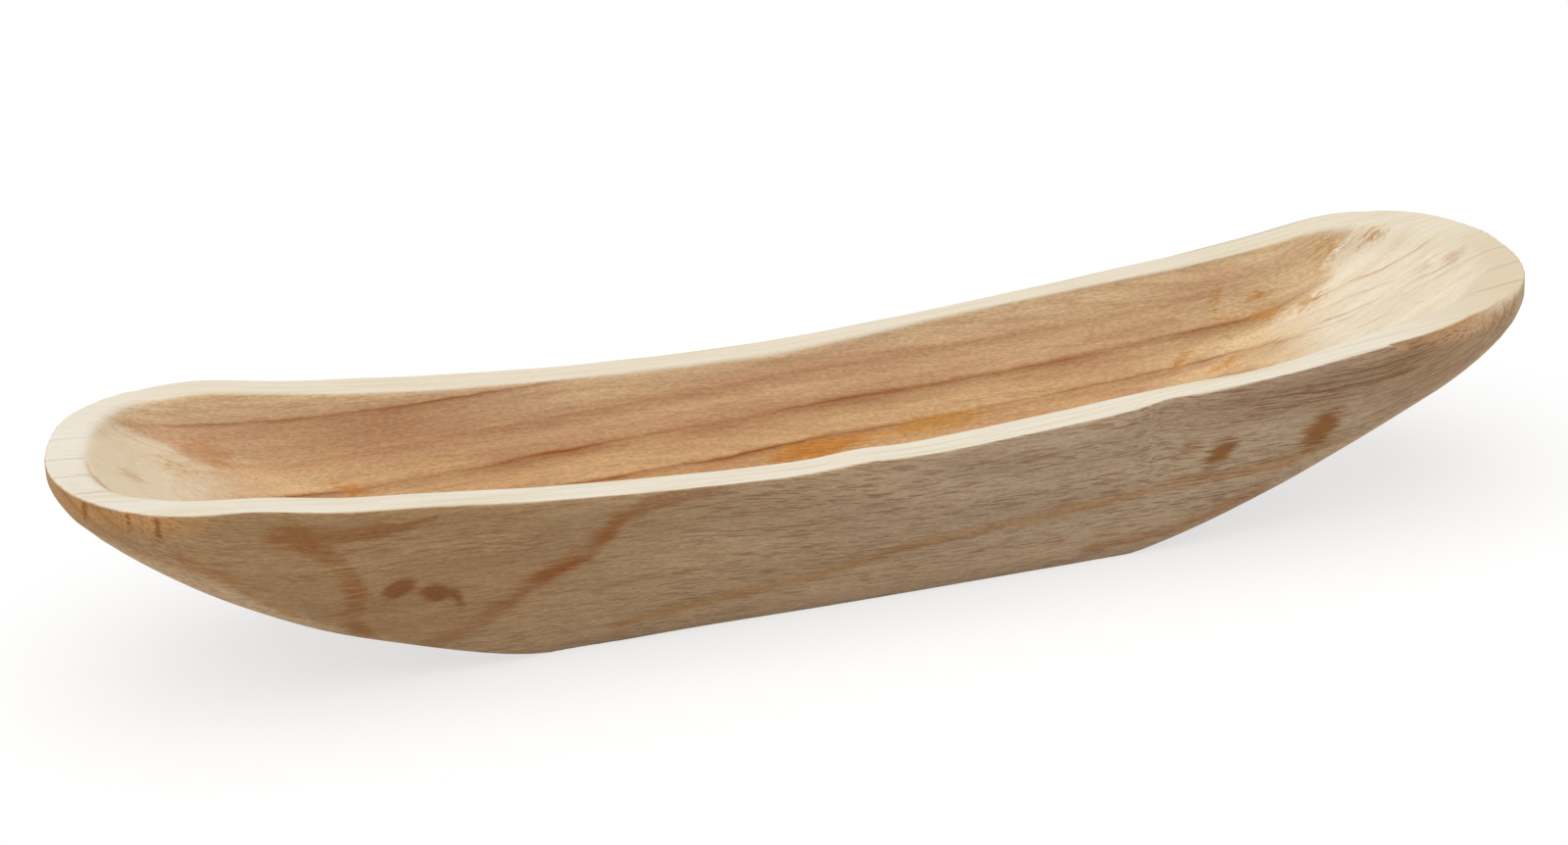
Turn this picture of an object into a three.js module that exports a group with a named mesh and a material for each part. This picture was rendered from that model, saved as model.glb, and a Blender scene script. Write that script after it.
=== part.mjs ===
// A long boat-shaped bowl, carved by hand from one block of pale paulownia wood.
// Millimetres, +Z up. X runs along the bowl, and the origin is on the table under its middle.

import * as THREE from "three";
import { LoftGeometry } from "three/addons/geometries/LoftGeometry.js";
import { mergeGeometries } from "three/addons/utils/BufferGeometryUtils.js";

// Overall sizes. The rim sweeps up from mid length to both tips. Left is -X, right is +X.
const LENGTH = 600;
const WIDTH = 140;
const MID_HEIGHT = 72;
const LEFT_RISE = 28;
const RIGHT_RISE = 23;

// The flat rim, and the ease on both its edges.
const RIM_WIDTH = 15;
const EDGE_EASE = 1.5;

// The upright lip under the rim's outer edge, which is tall at the tips and fades along the sides.
const TIP_LIP = 9;
const SIDE_LIP = 4;

// Length over which each end rounds off, at the rim's outer edge and at the mouth of the hollow.
const LEFT_OUTER_END = 66;
const RIGHT_OUTER_END = 57;
const LEFT_MOUTH_END = 62;
const RIGHT_MOUTH_END = 113;

// How far each side of the rim draws in from mid length to the tips.
const SIDE_BOW = 2.3;

// The left end was cut a little askew: its +Y corner is drawn in by this much.
const LEFT_SKEW = 6;

// The flat base that it stands on, and the level floor of the hollow.
const BASE_LENGTH = 237;
const BASE_WIDTH = 80;
const BASE_END = 10;
const FLOOR_THICKNESS = 17;
const FLOOR_LENGTH = 190;
const FLOOR_WIDTH = 36;
const FLOOR_END = 30;

// Curve powers: 1 is straight, 2 a parabola, and more is squarer.
const RISE_POWER = 1.55;
const LIP_POWER = 4;
const OUTER_ROUNDING = { along: 2, across: 2.5 };
const MOUTH_ROUNDING = { along: 2.88, across: 2.65 };
const FLAT_ROUNDING = { along: 2.2, across: 2.2 };
const LEFT_KEEL_POWER = 1.32;
const RIGHT_KEEL_POWER = 1.17;
const SIDE_POWER = 1.28;
const SCOOP_POWER = 1.25;
const WALL_POWER = 2;
const RIDGE_SHARPNESS = 4;

// Steps of the mesh.
const END_STEPS = 12;
const SIDE_STEPS = 12;
const HULL_STEPS = 10;
const HOLLOW_STEPS = 12;

const WOOD_COLOUR = 0xd6b98c;

const halfLength = LENGTH / 2;

const clampShare = (value) => Math.min(Math.max(value, 0), 1);

// Plan outlines: half length, half width, the length of each end, and how the ends round off.
function rimPlan(inset) {
  return {
    length: halfLength - inset,
    width: WIDTH / 2 - inset,
    leftEnd: LEFT_OUTER_END,
    rightEnd: RIGHT_OUTER_END,
    rounding: OUTER_ROUNDING,
  };
}

function mouthPlan(inset) {
  return {
    length: halfLength - inset,
    width: WIDTH / 2 - inset,
    leftEnd: LEFT_MOUTH_END,
    rightEnd: RIGHT_MOUTH_END,
    rounding: MOUTH_ROUNDING,
  };
}

function flatPlan(length, width, end) {
  return { length: length / 2, width: width / 2, leftEnd: end, rightEnd: end, rounding: FLAT_ROUNDING };
}

// Half width of a plan's nearly straight side at x, before its end rounds off.
// Narrower plans bow in by less, in proportion.
function sideWidth(shape, x) {
  const bow = (SIDE_BOW * shape.width) / (WIDTH / 2);
  return shape.width - bow * (x / halfLength) ** 2;
}

// Half width of a plan at x, ends included.
function halfWidth(shape, x) {
  const end = x < 0 ? shape.leftEnd : shape.rightEnd;
  const share = clampShare((Math.abs(x) - shape.length + end) / end);
  return sideWidth(shape, x) * (1 - share ** shape.rounding.along) ** (1 / shape.rounding.across);
}

// One quarter of a plan, from its tip round to mid length, as if it were at +X and +Y.
function quarterRing(shape, end) {
  const points = [];
  for (let i = 0; i <= END_STEPS; i++) {
    const angle = (Math.PI / 2) * (1 - i / END_STEPS);
    const x = shape.length - end + end * Math.sin(angle) ** (2 / shape.rounding.along);
    const across = i === 0 ? 0 : Math.cos(angle) ** (2 / shape.rounding.across);
    points.push(new THREE.Vector2(x, sideWidth(shape, x) * across));
  }
  for (let i = 1; i <= SIDE_STEPS; i++) {
    const x = (shape.length - end) * (1 - i / SIDE_STEPS);
    points.push(new THREE.Vector2(x, sideWidth(shape, x)));
  }
  return points;
}

// The whole plan as a ring of points, counterclockwise seen from above.
function planRing(shape) {
  const right = quarterRing(shape, shape.rightEnd);
  const left = quarterRing(shape, shape.leftEnd);
  const turned = (points, x, y) => points.map((p) => new THREE.Vector2(x * p.x, y * p.y));
  return [
    ...turned(right.slice(0, -1), 1, 1),
    ...turned(left.slice(1).reverse(), -1, 1),
    ...turned(left.slice(0, -1), -1, -1),
    ...turned(right.slice(1).reverse(), 1, -1),
  ];
}

// Height of the rim at x.
function rimHeight(x) {
  const rise = x < 0 ? LEFT_RISE : RIGHT_RISE;
  return MID_HEIGHT + rise * (Math.abs(x) / halfLength) ** RISE_POWER;
}

// Height of the foot of the lip at x.
function lipFoot(x) {
  const fade = (Math.abs(x) / halfLength) ** LIP_POWER;
  return rimHeight(x) - SIDE_LIP - (TIP_LIP - SIDE_LIP) * fade;
}

// Meets 0 where both shares are 0 and 1 where either is 1, with a soft ridge where they cross.
function blend(a, b) {
  const k = RIDGE_SHARPNESS;
  return (a ** k + b ** k - (a * b) ** k) ** (1 / k);
}

// Share of the way from a flat middle strip out to the tip, or out to the side, of a plan.
function shareAlong(x, flatLength, shape) {
  return clampShare((Math.abs(x) - flatLength / 2) / (shape.length - flatLength / 2));
}

function shareAcross(x, y, flatWidth, shape) {
  const reach = Math.max(halfWidth(shape, x), 0.01);
  const flat = (reach * flatWidth) / (2 * shape.width);
  return clampShare((Math.abs(y) - flat) / (reach - flat));
}

// Height of the underside: the ends sweep up from the base, and the sides flare out.
function hullHeight(x, y) {
  const shape = rimPlan(0);
  const keelPower = x < 0 ? LEFT_KEEL_POWER : RIGHT_KEEL_POWER;
  const keel = shareAlong(x, BASE_LENGTH, shape) ** keelPower;
  const side = shareAcross(x, y, BASE_WIDTH, shape) ** SIDE_POWER;
  return lipFoot(x) * blend(keel, side);
}

// Height of the hollow: the ends are scooped out, and the walls curve up to the rim.
function hollowHeight(x, y) {
  const shape = mouthPlan(RIM_WIDTH);
  const scoop = shareAlong(x, FLOOR_LENGTH, shape) ** SCOOP_POWER;
  const wall = shareAcross(x, y, FLOOR_WIDTH, shape) ** WALL_POWER;
  const top = rimHeight(x) - EDGE_EASE;
  return FLOOR_THICKNESS + (top - FLOOR_THICKNESS) * blend(scoop, wall);
}

// Where a point of a plan really lies, with the left end askew.
function askew(p) {
  const share = p.x < 0 ? (-p.x / halfLength) ** 3 : 0;
  return new THREE.Vector2(p.x + (LEFT_SKEW * share * p.y) / (WIDTH / 2), p.y);
}

// A ring in space, from a ring in plan and the height at each of its points.
function lift(ring, height) {
  return ring.map((p) => {
    const place = askew(p);
    return new THREE.Vector3(place.x, place.y, height(p.x, p.y));
  });
}

// Rings from one plan ring out or in to another, all on one surface.
function sweep(from, to, steps, height) {
  const sections = [];
  for (let i = 1; i <= steps; i++) {
    const ring = from.map((p, j) => p.clone().lerp(to[j], i / steps));
    sections.push(lift(ring, height));
  }
  return sections;
}

const baseRing = planRing(flatPlan(BASE_LENGTH, BASE_WIDTH, BASE_END));
const outerRing = planRing(rimPlan(0));
const rimOuterRing = planRing(rimPlan(EDGE_EASE));
const rimInnerRing = planRing(mouthPlan(RIM_WIDTH - EDGE_EASE));
const mouthRing = planRing(mouthPlan(RIM_WIDTH));
const floorRing = planRing(flatPlan(FLOOR_LENGTH, FLOOR_WIDTH, FLOOR_END));

// The bowl's skin, from the edge of the base up the hull, over the rim and down to the floor.
const skin = new LoftGeometry(
  [
    lift(baseRing, () => 0),
    ...sweep(baseRing, outerRing, HULL_STEPS, hullHeight),
    lift(outerRing, (x) => rimHeight(x) - EDGE_EASE),
    lift(rimOuterRing, rimHeight),
    lift(rimInnerRing, rimHeight),
    lift(mouthRing, (x) => rimHeight(x) - EDGE_EASE),
    ...sweep(mouthRing, floorRing, HOLLOW_STEPS, hollowHeight),
  ],
  { capStart: true },
);

// The level floor that closes the skin inside the hollow.
const floor = new THREE.ShapeGeometry(new THREE.Shape(floorRing.map(askew)));
floor.translate(0, 0, FLOOR_THICKNESS);

const bowl = new THREE.Mesh(
  mergeGeometries([skin, floor]),
  new THREE.MeshStandardMaterial({ name: "paulownia_wood", color: WOOD_COLOUR, roughness: 0.65 }),
);
bowl.name = "bowl_body";

const part = new THREE.Group();
part.name = "carved_bowl";
part.add(bowl);

export default part;
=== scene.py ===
# %% [markdown]
# # A long bowl carved from one block of paulownia
# The object is one piece of wood, hollowed and rounded by hand, so the whole scene is one closed
# surface and one wood. The frame gives its true size, and everything here is fitted to that frame.

# %% Load the frame
import math

import bpy
import numpy as np
from mathutils import Matrix, Vector


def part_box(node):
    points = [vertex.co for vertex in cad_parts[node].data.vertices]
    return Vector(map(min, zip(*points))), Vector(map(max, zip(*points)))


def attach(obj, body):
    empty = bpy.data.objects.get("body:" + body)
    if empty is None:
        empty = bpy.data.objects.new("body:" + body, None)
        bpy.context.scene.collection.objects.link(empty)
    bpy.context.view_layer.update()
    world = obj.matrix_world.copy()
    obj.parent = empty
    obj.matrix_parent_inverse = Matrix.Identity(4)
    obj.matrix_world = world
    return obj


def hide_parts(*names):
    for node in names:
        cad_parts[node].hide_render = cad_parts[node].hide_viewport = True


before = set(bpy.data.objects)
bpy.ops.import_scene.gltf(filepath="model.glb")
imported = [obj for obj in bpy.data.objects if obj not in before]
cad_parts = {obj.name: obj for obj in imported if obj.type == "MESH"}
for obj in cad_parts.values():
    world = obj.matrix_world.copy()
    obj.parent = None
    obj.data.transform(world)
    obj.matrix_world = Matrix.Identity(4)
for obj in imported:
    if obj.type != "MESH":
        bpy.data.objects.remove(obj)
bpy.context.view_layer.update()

MM = 0.001
node_low, node_high = (np.array(corner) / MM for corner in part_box("bowl_body"))
HALF_LENGTH = node_high[0]
HALF_WIDTH = node_high[1]
print("bowl, mm:", np.round(node_high - node_low, 1))

# %% [markdown]
# ## The camera
# The photograph looks down on the near side of the bowl through a long lens, a little askew. The
# angles, distance and focal length come from matching the rim's outline, and the lens shift puts
# the bowl where it lies in the picture.

# %% Camera
IMAGE_WIDTH = 1600
IMAGE_HEIGHT = 862
SENSOR_MM = 36.0
AZIMUTH = math.radians(-15.26)
ELEVATION = math.radians(23.79)
ROLL = math.radians(-3.0)
FOCAL_PIXELS = 3829.0
AXIS_PIXEL = (830.6, 475.9)
CAMERA_DISTANCE = 1.507
LOOK_POINT = Vector((0, 0, 0.0432))


def camera_axes(azimuth, elevation, roll):
    """Right, up and back vectors of a camera turned round Z, raised, then rolled about its own view."""
    back = Vector((
        math.sin(azimuth) * math.cos(elevation),
        -math.cos(azimuth) * math.cos(elevation),
        math.sin(elevation),
    ))
    level = Vector((math.cos(azimuth), math.sin(azimuth), 0))
    upright = back.cross(level)
    right = level * math.cos(roll) + upright * math.sin(roll)
    up = upright * math.cos(roll) - level * math.sin(roll)
    return right, up, back


def make_camera():
    """A camera at the photograph's angle, with its lens shifted so that the axis falls on its pixel."""
    right, up, back = camera_axes(AZIMUTH, ELEVATION, ROLL)
    data = bpy.data.cameras.new("photo_camera")
    data.sensor_fit = "HORIZONTAL"
    data.sensor_width = SENSOR_MM
    data.lens = FOCAL_PIXELS / IMAGE_WIDTH * SENSOR_MM
    data.shift_x = (IMAGE_WIDTH / 2 - AXIS_PIXEL[0]) / IMAGE_WIDTH
    data.shift_y = (AXIS_PIXEL[1] - IMAGE_HEIGHT / 2) / IMAGE_WIDTH
    camera = bpy.data.objects.new("photo_camera", data)
    turn = Matrix((right, up, back)).transposed().to_4x4()
    camera.matrix_world = Matrix.Translation(LOOK_POINT + back * CAMERA_DISTANCE) @ turn
    bpy.context.collection.objects.link(camera)
    bpy.context.scene.camera = camera
    print("lens, mm:", round(data.lens, 1))


make_camera()

# %% [markdown]
# ## Outlines seen from above
# Four outlines shape the bowl: the flat base, the rim's outer edge, the mouth of the hollow and the
# hollow's floor. Each has nearly straight sides and ends that round off as a superellipse.

# %% Outlines
RIM_WIDTH = 15.0
SIDE_BOW = 2.3
END_STEPS = 56
SIDE_STEPS = 114
COLUMNS = 4 * (END_STEPS + SIDE_STEPS)

# Half length, half width and the lengths of both ends in mm, then the powers of their rounding.
rim_plan = dict(length=HALF_LENGTH, width=HALF_WIDTH, left=66, right=57, along=2, across=2.5)
mouth_plan = dict(
    length=HALF_LENGTH - RIM_WIDTH, width=HALF_WIDTH - RIM_WIDTH,
    left=62, right=113, along=2.88, across=2.65,
)
base_plan = dict(length=118.5, width=39, left=26, right=18, along=2.2, across=2.2)
floor_plan = dict(length=95, width=18, left=30, right=30, along=2.2, across=2.2)


def side_width(plan, x):
    """Half width of the nearly straight side: it draws in with the square of x."""
    bow = SIDE_BOW * plan["width"] / HALF_WIDTH
    return plan["width"] - bow * (x / HALF_LENGTH) ** 2


def half_width(plan, x):
    """Half width at x, ends included: the side's width times (1 - share^along)^(1/across)."""
    end = np.where(x < 0, plan["left"], plan["right"])
    share = np.clip((np.abs(x) - plan["length"] + end) / end, 0, 1)
    return side_width(plan, x) * (1 - share ** plan["along"]) ** (1 / plan["across"])


def quarter(plan, end):
    """A quarter outline from the tip to mid length, as if at +X and +Y: a rounded end, then a side."""
    turn = np.linspace(math.pi / 2, 0, END_STEPS + 1)
    tip_x = plan["length"] - end + end * np.sin(turn) ** (2 / plan["along"])
    tip_y = side_width(plan, tip_x) * np.cos(turn).clip(0) ** (2 / plan["across"])
    side_x = np.linspace(plan["length"] - end, 0, SIDE_STEPS + 1)[1:]
    x = np.concatenate([tip_x, side_x])
    y = np.concatenate([tip_y, side_width(plan, side_x)])
    return np.stack([x, y], axis=1)


def outline(plan):
    """The whole outline as COLUMNS points, counterclockwise from the right tip."""
    right = quarter(plan, plan["right"])
    left = quarter(plan, plan["left"])
    parts = [
        right[:-1],
        left[1:][::-1] * (-1, 1),
        left[:-1] * (-1, -1),
        right[1:][::-1] * (1, -1),
    ]
    return np.concatenate(parts)


base_ring = outline(base_plan)
rim_ring = outline(rim_plan)
mouth_ring = outline(mouth_plan)
floor_ring = outline(floor_plan)
print("points in each outline:", len(rim_ring))

# %% [markdown]
# ## Heights
# The rim sweeps up to both tips. The hull rises from the base to a small upright lip, and the hollow
# falls from the rim to a level floor. Ends and sides each rise by a power of the share of the way
# out, and the two are blended so that a soft ridge is left where they cross, as a gouge leaves it.
# A straight sweep would look machined, so the rim also wanders by a millimetre or two.

# %% Heights
MID_HEIGHT = 72.0
LEFT_RISE = 28.0
RIGHT_RISE = 23.0
RISE_POWER = 1.55
SIDE_LIP = 4.0
LEFT_TIP_LIP = 9.0
RIGHT_TIP_LIP = 11.0
LIP_POWER = 4
LEFT_KEEL_POWER = 1.32
RIGHT_KEEL_POWER = 1.17
SIDE_POWER = 1.28
BELLY = 3.6
BELLY_MIDDLE = -226.0
BELLY_REACH = 44.0
FLOOR_THICKNESS = 17.0
SCOOP_POWER = 1.25
WALL_POWER = 2.0
RIDGE_SHARPNESS = 4
FAR = 1
NEAR = -1

# Distances from the middle line between which a wander comes in.
SIDE_RANGE = (0, 30)

# Side, middle, half length and amount of each wander, in mm: up for the rim's height.
RIM_WAVES = [
    (FAR, -234, 22, 1.6), (FAR, -105, 75, -1.0), (FAR, 178, 18, -0.5), (FAR, 247, 22, 1.3),
    (NEAR, -228, 28, 1.4), (NEAR, -165, 25, 0.7), (NEAR, 2, 16, 1.4), (NEAR, 178, 22, -0.7),
]


def soft_step(value, start, stop):
    """0 before start, 1 after stop, and 3t^2 - 2t^3 between."""
    t = np.clip((value - start) / (stop - start), 0, 1)
    return t * t * (3 - 2 * t)


def soft_drop(value, start, stop):
    """1 before start, 0 after stop: what a soft step leaves."""
    return 1 - soft_step(value, start, stop)


def swelling(value, middle, reach):
    """1 at the middle, and exp(-((value - middle) / reach)^2) away from it."""
    return np.exp(-(((value - middle) / reach) ** 2))


def wander(waves, x, y):
    """Sum of the waves: amount times a swelling about the wave's middle, on the wave's own side."""
    total = np.zeros(np.broadcast(x, y).shape)
    for side, middle, half_length, amount in waves:
        total += amount * swelling(x, middle, half_length) * soft_step(side * y, *SIDE_RANGE)
    return total


def rim_height(x, y):
    """Mid height plus the end's rise times (|x| / half length)^1.55, plus the rim's waves."""
    rise = np.where(x < 0, LEFT_RISE, RIGHT_RISE)
    return MID_HEIGHT + rise * (np.abs(x) / HALF_LENGTH) ** RISE_POWER + wander(RIM_WAVES, x, y)


def lip_foot(x, y):
    """Where the upright lip begins, 4 mm under the rim at mid length and about 10 mm at the tips."""
    tip_lip = np.where(x < 0, LEFT_TIP_LIP, RIGHT_TIP_LIP)
    lip = SIDE_LIP + (tip_lip - SIDE_LIP) * (np.abs(x) / HALF_LENGTH) ** LIP_POWER
    return rim_height(x, y) - lip


def ridge_blend(a, b):
    """0 where both are 0, 1 where either is 1: (a^k + b^k - (ab)^k)^(1/k)."""
    k = RIDGE_SHARPNESS
    return (a ** k + b ** k - (a * b) ** k).clip(0) ** (1 / k)


def share_along(x, flat, plan):
    """Share of the way from the flat's end out to the plan's tip."""
    return np.clip((np.abs(x) - flat["length"]) / (plan["length"] - flat["length"]), 0, 1)


def share_across(x, y, flat, plan):
    """Share of the way from the flat's side out to the plan's side."""
    reach = np.maximum(half_width(plan, x), 0.01)
    start = reach * flat["width"] / plan["width"]
    return np.clip((np.abs(y) - start) / (reach - start), 0, 1)


def hull_shares(x, y):
    """How far up the keel's rise, and how far up the side's flare, a point of the hull is."""
    power = np.where(x < 0, LEFT_KEEL_POWER, RIGHT_KEEL_POWER)
    keel = share_along(x, base_plan, rim_plan) ** power
    side = share_across(x, y, base_plan, rim_plan) ** SIDE_POWER
    return keel, side


def hull_height(x, y):
    """Lip foot times the blend of the keel's rise and the side's flare, less a fuller belly at the left."""
    rise = ridge_blend(*hull_shares(x, y))
    belly = BELLY * swelling(x, BELLY_MIDDLE, BELLY_REACH) * 4 * rise * (1 - rise)
    return lip_foot(x, y) * rise - belly


def hollow_shares(x, y):
    """How far up the end scoop, and how far up the side wall, a point of the hollow is."""
    scoop = share_along(x, floor_plan, mouth_plan) ** SCOOP_POWER
    wall = share_across(x, y, floor_plan, mouth_plan) ** WALL_POWER
    return scoop, wall


def hollow_height(x, y):
    """Floor thickness plus the depth times the blend of the scoop's rise and the wall's rise."""
    depth = rim_height(x, y) - FLOOR_THICKNESS
    return FLOOR_THICKNESS + depth * ridge_blend(*hollow_shares(x, y))


tips = np.array([0, -HALF_LENGTH, HALF_LENGTH])
print("rim at mid length and tips, mm:", rim_height(tips, 0).round(1))

# %% [markdown]
# ## Rings from the base to the floor
# The skin is carried ring by ring: out over the base, up the hull, round the lip and the rim's two
# eased edges, down the hollow and in over the floor. An eased edge is a quadratic curve that starts
# on one face, aims at the sharp corner and ends on the next face, so it meets both smoothly. The
# ease is small along the sides and soft at the ends, and the near rim is pared off in a long bevel
# towards the right tip.

# %% Rings
BASE_STEPS = 6
HULL_STEPS = 46
FOOT_STEPS = 5
EDGE_STEPS = 7
RIM_STEPS = 7
HOLLOW_STEPS = 54
FLOOR_STEPS = 8
FOOT_EASE = 3.0
OUTER_EASE = 1.5
INNER_EASE = 2.0
INNER_LEFT_EASE = 4.0
INNER_RIGHT_EASE = 7.0
END_EASE_RANGE = (225, 275)
EASE_SWAY = 0.35
LEAST_LIP = 0.6
LEAST_UPRIGHT = 0.3
BEVEL_DROP = 4.5
BEVEL_REACH = 8.0
BEVEL_START = 218.0
BEVEL_FULL = 229.0
BEVEL_FADE = 258.0
BEVEL_END = 294.0


def spread(start, stop, steps):
    """Rings at even shares from start to stop, both included, as rows over all columns."""
    share = np.linspace(0, 1, steps + 1)[:, None]
    return start + (stop - start) * share * np.ones(COLUMNS)


def lifted(plan_points, height):
    """Plan points with the Z of a height function, or of a value per column."""
    x, y = plan_points[..., 0], plan_points[..., 1]
    z = height(x, y) if callable(height) else np.broadcast_to(height, x.shape)
    return np.stack([x, y, z], axis=-1)


def eased(before, corner, after, steps):
    """Quadratic curve (1-t)^2 before + 2t(1-t) corner + t^2 after, without its two end rings."""
    t = np.linspace(0, 1, steps + 1)[1:-1, None, None]
    return (1 - t) ** 2 * before + 2 * t * (1 - t) * corner + t ** 2 * after


def between(start_ring, end_ring, shares):
    """Plan rings at the given shares (rings by columns) of the way from one outline to another."""
    return start_ring + (end_ring - start_ring) * shares[..., None]


rim_x, rim_y = rim_ring.T
bevel = soft_step(rim_x, BEVEL_START, BEVEL_FULL) * soft_drop(rim_x, BEVEL_FADE, BEVEL_END)
bevel = bevel * (rim_y < 0)
at_end = soft_step(np.abs(mouth_ring[:, 0]), *END_EASE_RANGE)
end_ease = np.where(mouth_ring[:, 0] < 0, INNER_LEFT_EASE, INNER_RIGHT_EASE)
outer_ease = OUTER_EASE * (1 + EASE_SWAY * np.sin(rim_x / 13) * np.sin(rim_x / 31 + rim_y))
inner_ease = INNER_EASE + (end_ease - INNER_EASE) * at_end

hull_run = np.linalg.norm(rim_ring - base_ring, axis=1)
hollow_run = np.linalg.norm(floor_ring - mouth_ring, axis=1)
inward = mouth_ring - rim_ring
inward = inward / np.linalg.norm(inward, axis=1)[:, None]
rim_top = rim_height(rim_x, rim_y)
foot = lip_foot(rim_x, rim_y)

base_rings = lifted(between(base_ring * (1, 0), base_ring, spread(0, 1, BASE_STEPS)[:-1]), 0.0)
hull_part = spread(0, 1 - FOOT_EASE / hull_run, HULL_STEPS)
hull_rings = lifted(between(base_ring, rim_ring, hull_part), hull_height)
lip_end = lifted(rim_ring, np.maximum(rim_top - outer_ease - BEVEL_DROP * bevel, foot + LEAST_LIP))
lip_start = lifted(rim_ring, np.minimum(foot + FOOT_EASE, lip_end[:, 2] - LEAST_UPRIGHT))
foot_rings = eased(hull_rings[-1], lifted(rim_ring, foot), lip_start, FOOT_STEPS)
rim_start = rim_ring + inward * (outer_ease + BEVEL_REACH * bevel)[:, None]
rim_end = mouth_ring - inward * inner_ease[:, None]
rim_rings = lifted(between(rim_start, rim_end, spread(0, 1, RIM_STEPS)), rim_height)
sharp_corner = lifted(rim_ring, rim_top)
pared_corner = (lip_end + rim_rings[0]) / 2
edge_corner = sharp_corner + (pared_corner - sharp_corner) * bevel[:, None]
outer_edge_rings = eased(lip_end, edge_corner, rim_rings[0], EDGE_STEPS)
hollow_part = spread(inner_ease / hollow_run, 1, HOLLOW_STEPS)
hollow_rings = lifted(between(mouth_ring, floor_ring, hollow_part), hollow_height)
inner_edge_rings = eased(rim_rings[-1], lifted(mouth_ring, rim_height), hollow_rings[0], EDGE_STEPS)
floor_part = spread(0, 1, FLOOR_STEPS)[1:]
floor_rings = lifted(between(floor_ring, floor_ring * (1, 0), floor_part), FLOOR_THICKNESS)

sections = dict(
    base=base_rings, hull=hull_rings, foot=foot_rings, lip=np.stack([lip_start, lip_end]),
    outer_edge=outer_edge_rings, rim=rim_rings, inner_edge=inner_edge_rings,
    hollow=hollow_rings, floor=floor_rings,
)
skin = np.concatenate(list(sections.values()))
print("rings:", {name: len(rings) for name, rings in sections.items()}, "in all", len(skin))

# %% [markdown]
# ## The carver's hand
# Nothing here is quite even: the rim's width comes and goes, the left end was cut a little askew, a
# chisel left a ridge where the right scoop meets the far wall, and the gouge left very shallow
# waves. These are shifts of the finished rings, so they can be added without touching the formulas.

# %% Uneven rim, chisel ridge, gouge waves
LEFT_SKEW = 6.0
LEFT_CORNER_CUT = 2.0
CORNER_ACROSS = (-10, 25)
CORNER_ALONG = (262, 285)

# Wanders of the base and of the rim's two edges, outward in mm.
BASE_WANDER = [(NEAR, -65, 45, -1.6), (NEAR, -114, 16, -1.2)]
OUTER_WANDER = [
    (NEAR, -231, 22, -2.8), (NEAR, 128, 10, -2.8), (NEAR, -165, 25, -0.6), (FAR, -80, 60, -0.8),
    (FAR, 297, 9, -4.5),
]
INNER_WANDER = [
    (NEAR, -232, 30, -2.2), (NEAR, -264, 12, -2.0), (NEAR, 166, 32, 4.2), (NEAR, 5, 16, -0.4),
    (FAR, -150, 42, -2.4), (FAR, 90, 72, 4.8), (FAR, -262, 10, 2.0), (FAR, 248, 26, 6.0),
]

# The ridge is a chain of (x, z) on the far wall, and comes in over a range across the bowl.
CHISEL_RIDGE = [(260, 91), (253.5, 86), (248.5, 82), (244.5, 78), (241, 75)]
RIDGE_HEIGHT = 0.6
RIDGE_REACH = 5.0
RIDGE_SIDE = (20, 35)
GOUGE_DEPTH = 0.28


def closeness(chain, along, up, left_reach, right_reach):
    """1 on a chain of (along, up) points, 0 at its reach in mm on either hand, and -1 far out."""
    closest = np.full(along.shape, np.inf)
    share = np.full(along.shape, 2.0)
    for (a, b), (c, d) in zip(chain, chain[1:]):
        t = ((along - a) * (c - a) + (up - b) * (d - b)) / ((c - a) ** 2 + (d - b) ** 2)
        t = np.clip(t, 0, 1)
        gap = np.hypot(along - a - t * (c - a), up - b - t * (d - b))
        on_left = (c - a) * (up - b) > (d - b) * (along - a)
        reach = np.where(on_left, left_reach, right_reach)
        share = np.where(gap < closest, gap / reach, share)
        closest = np.minimum(closest, gap)
    return np.maximum(1 - share, -1)


def ring_values(**ends):
    """One value per ring, as a column: each named section runs evenly from its first to its last."""
    rows = [np.linspace(*ends.get(name, (0, 0)), len(rings)) for name, rings in sections.items()]
    return np.concatenate(rows)[:, None]


def outward_normals(rings):
    """Unit normals of the grid, from the step to the next column crossed with the step to the next ring."""
    step_round = np.roll(rings, -1, axis=1) - np.roll(rings, 1, axis=1)
    normal = np.cross(step_round, np.gradient(rings, axis=0))
    return normal / np.maximum(np.linalg.norm(normal, axis=-1, keepdims=True), 1e-9)


def gouge_waves(x, y, z):
    """Shallow hollows from crossed sines of 28 to 90 mm, from 0 to 1."""
    along = np.sin(x / 9.0 + 0.05 * z) * np.sin(x / 14.5 + 0.09 * y + 1.3)
    across = np.sin(z / 5.5 + x / 33.0) * np.sin(y / 4.5 - x / 27.0 + 0.7)
    return 0.5 + 0.3 * along + 0.2 * across


outer_weight = ring_values(hull=(0, 1), foot=(1, 1), lip=(1, 1), outer_edge=(1, 1), rim=(1, 0)) ** 2
inner_weight = ring_values(rim=(0, 1), inner_edge=(1, 1), hollow=(1, 0)) ** 2
base_weight = ring_values(base=(0, 1), hull=(1, 0))
gouge_weight = ring_values(hull=(0, 1), foot=(1, 1), lip=(1, 1), outer_edge=(1, 1), rim=(0.6, 0.6),
                           inner_edge=(1, 1), hollow=(1, 1), floor=(1, 0))
in_hollow = ring_values(inner_edge=(0, 1), hollow=(1, 1))

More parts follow.
